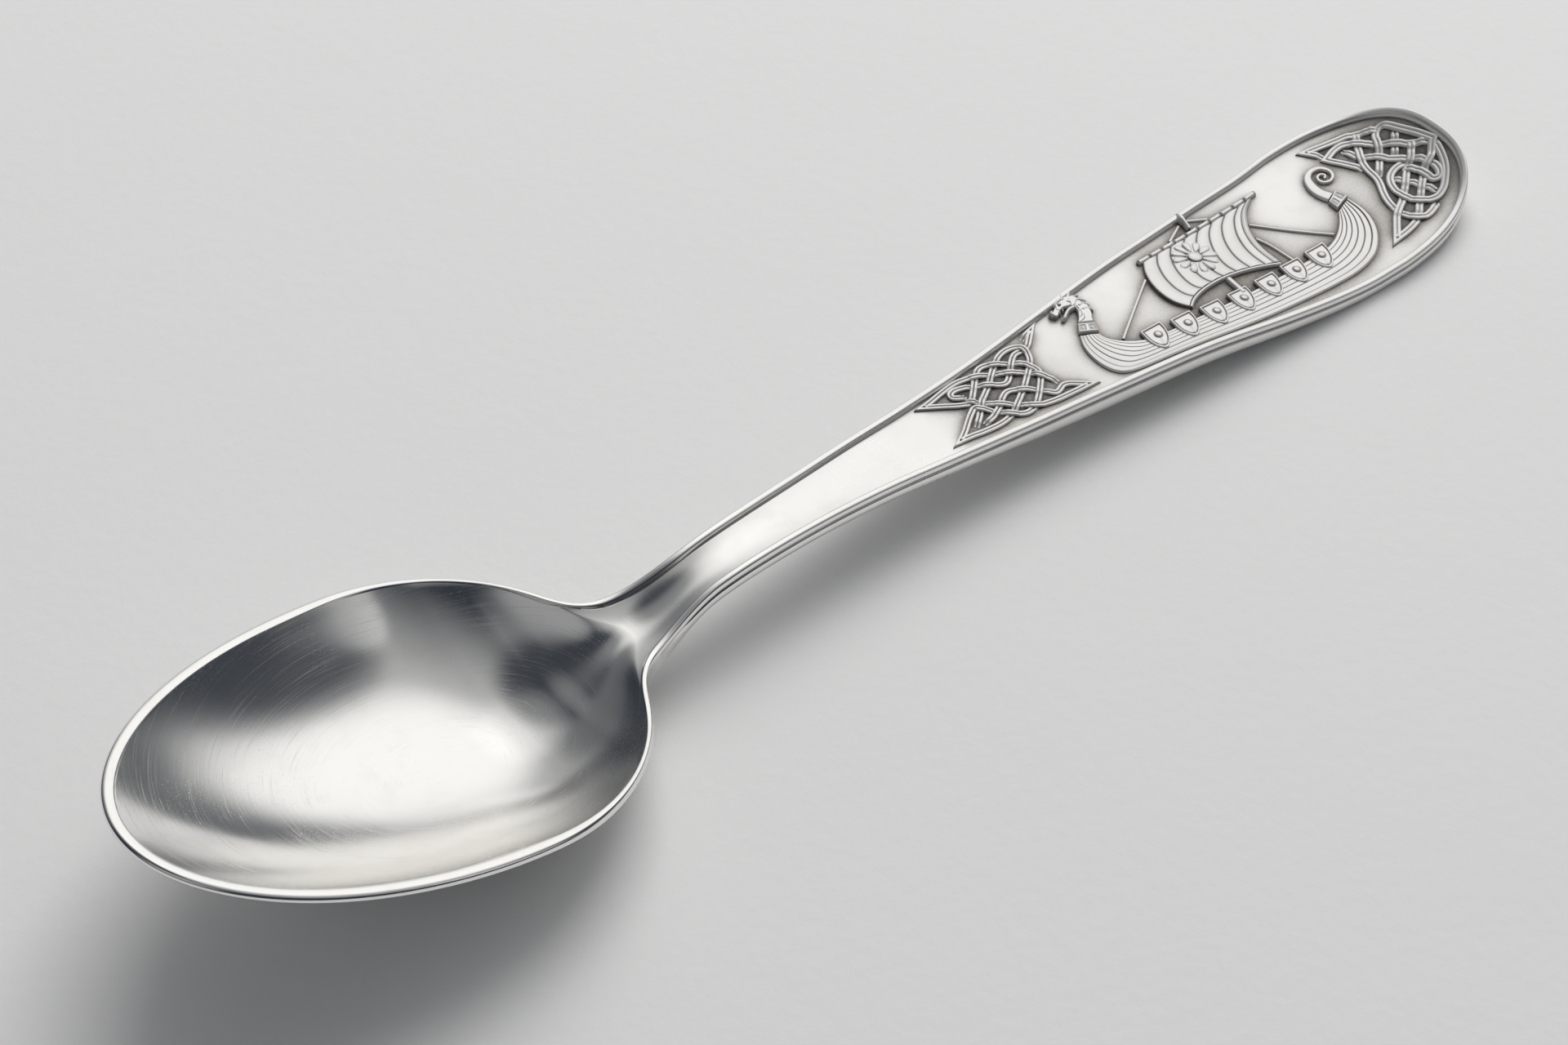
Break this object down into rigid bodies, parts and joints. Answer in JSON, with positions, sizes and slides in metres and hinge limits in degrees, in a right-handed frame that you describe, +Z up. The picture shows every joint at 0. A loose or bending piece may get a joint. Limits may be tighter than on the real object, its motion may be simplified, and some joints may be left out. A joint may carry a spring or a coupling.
{
  "type": "souvenir spoon",
  "caption": "Small silver spoon with an egg-shaped bowl, an arched flaring handle, a raised border wire and applied longship and interlaced knot ornament, for eating, serving or display.",
  "frame": {"origin": "on the table plane, under the middle of the bounding box", "axes": "+X along the spoon from the bowl to the end of the handle, +Y across it, +Z up, away from the table"},
  "size_m": [0.1273, 0.0284, 0.0152],
  "materials": {
    "polished_silver": "polished silver with fine wear scratches",
    "relief_silver": "bright silver relief, darkened by oxide in the recesses"
  },
  "bodies": {
    "root": {"bowl": "polished_silver", "handle": "polished_silver", "border": "polished_silver", "lower_knot_strand_1": "relief_silver", "lower_knot_strand_2": "relief_silver", "lower_knot_strand_3": "relief_silver", "upper_knot_strand_1": "relief_silver", "upper_knot_strand_2": "relief_silver", "upper_knot_strand_3": "relief_silver", "upper_knot_strand_4": "relief_silver", "upper_knot_strand_5": "relief_silver", "upper_knot_strand_6": "relief_silver", "hull": "relief_silver", "figurehead": "relief_silver", "prow_collar": "relief_silver", "stern_collar": "relief_silver", "stern_scroll": "relief_silver", "sail": "relief_silver", "sun": "relief_silver", "yard": "relief_silver", "masthead": "relief_silver", "mast_foot": "relief_silver", "foot_rope": "relief_silver", "forestay": "relief_silver", "backstay": "relief_silver", "sheet": "relief_silver", "masthead_stay_fore": "relief_silver", "masthead_stay_aft": "relief_silver", "shield_1": "relief_silver", "shield_2": "relief_silver", "shield_3": "relief_silver", "shield_4": "relief_silver", "shield_5": "relief_silver", "shield_6": "relief_silver", "shield_7": "relief_silver"}
  },
  "joints": []
}
